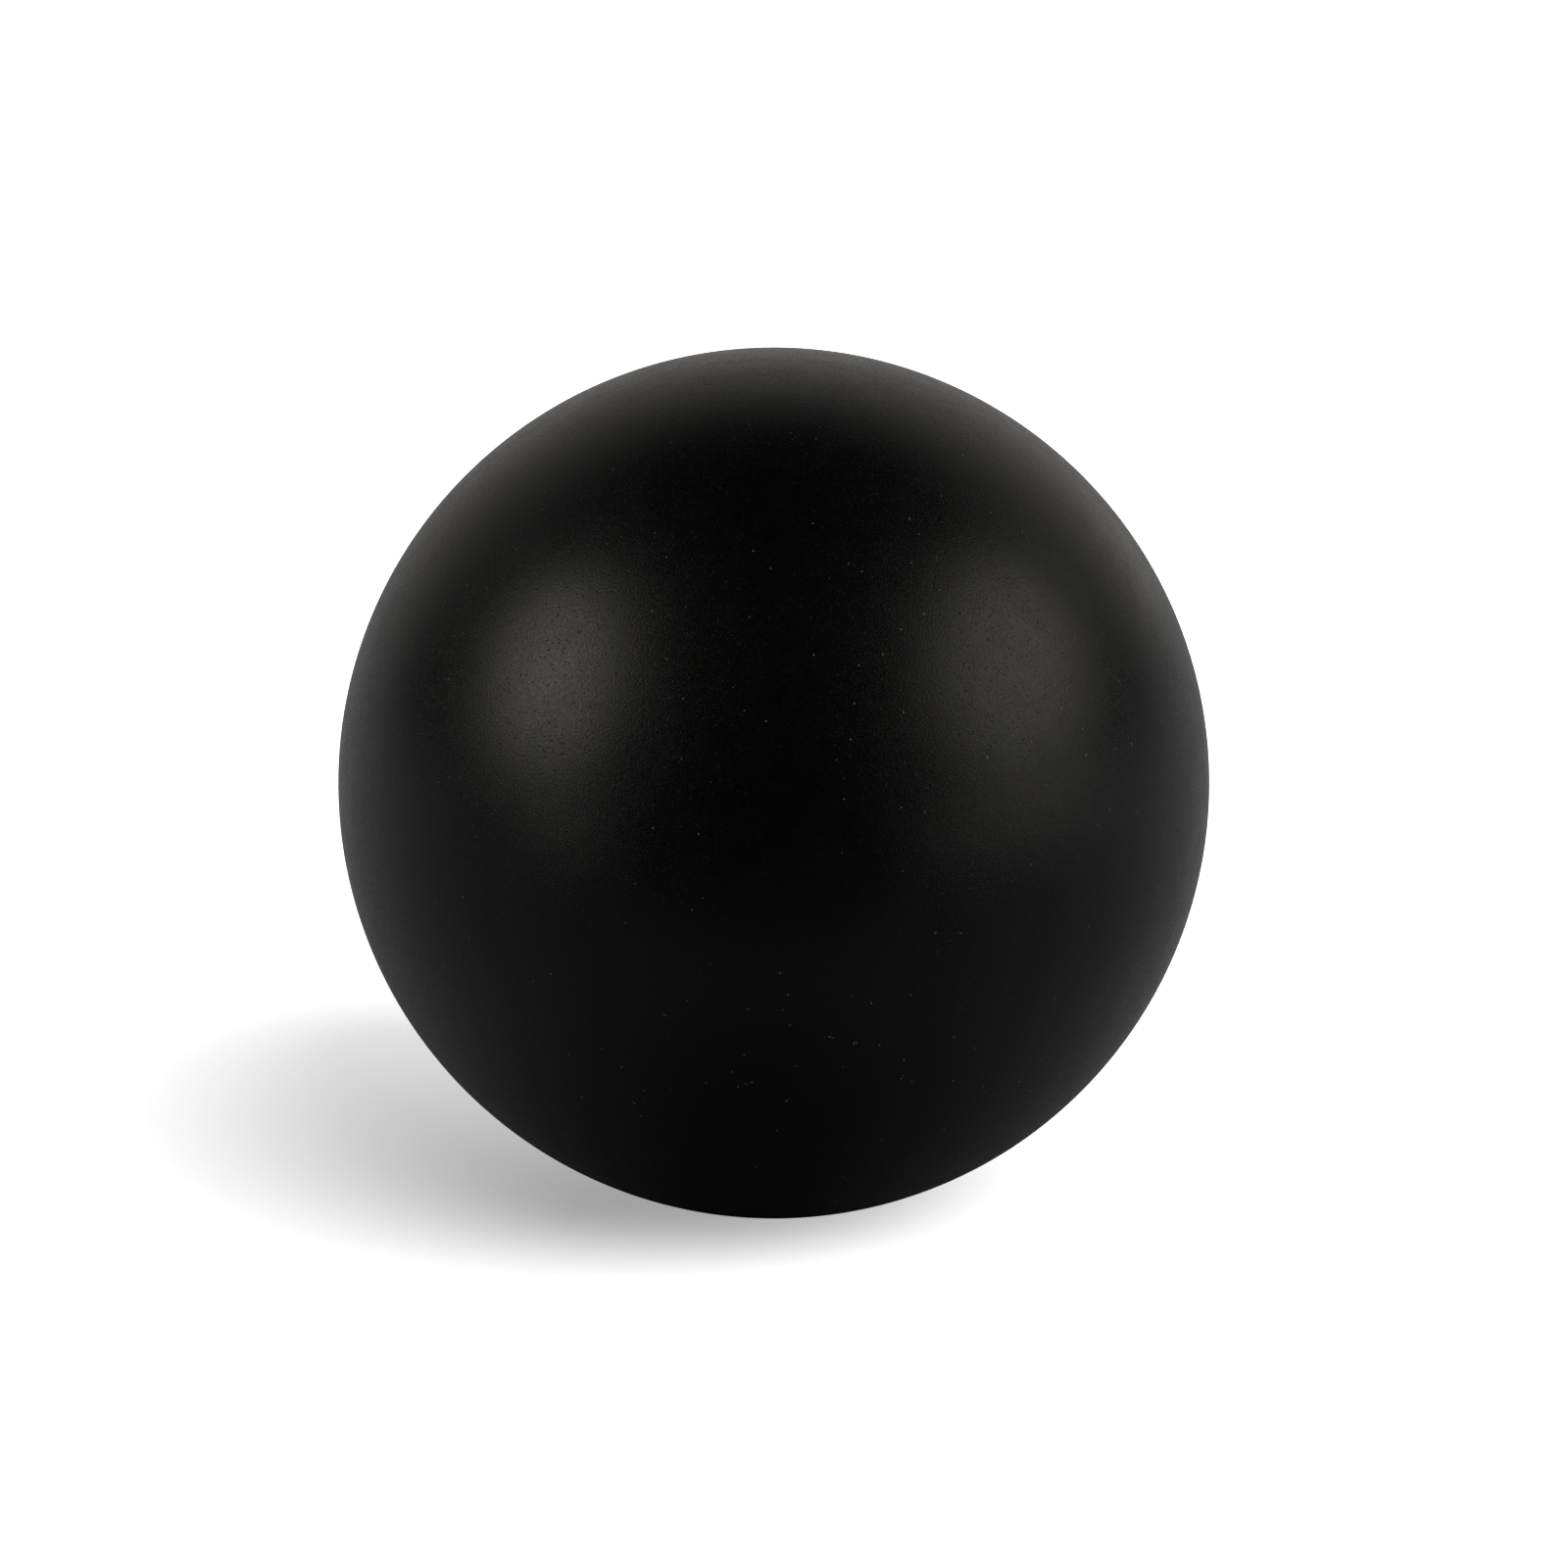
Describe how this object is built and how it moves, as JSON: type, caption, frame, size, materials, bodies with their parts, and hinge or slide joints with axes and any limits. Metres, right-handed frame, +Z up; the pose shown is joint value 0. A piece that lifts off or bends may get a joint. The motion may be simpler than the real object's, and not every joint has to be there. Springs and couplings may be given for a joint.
{
  "type": "squash ball",
  "caption": "Small hollow matte black rubber ball for squash: moulded half shells with buffed rims, cemented together around a sealed air cavity.",
  "frame": {"origin": "centre of the ball", "axes": "+Z up; +Y along the axis that both half shells turn about, from the front pole to the back pole, so the seam stands upright in the XZ plane; +X to the right seen from the front"},
  "size_m": [0.04, 0.04, 0.04],
  "materials": {
    "shell_rubber": "matte",
    "cement_rubber": "satin"
  },
  "bodies": {
    "root": {"front_half_shell": "shell_rubber", "back_half_shell": "shell_rubber", "seam_cement": "cement_rubber"}
  },
  "joints": []
}
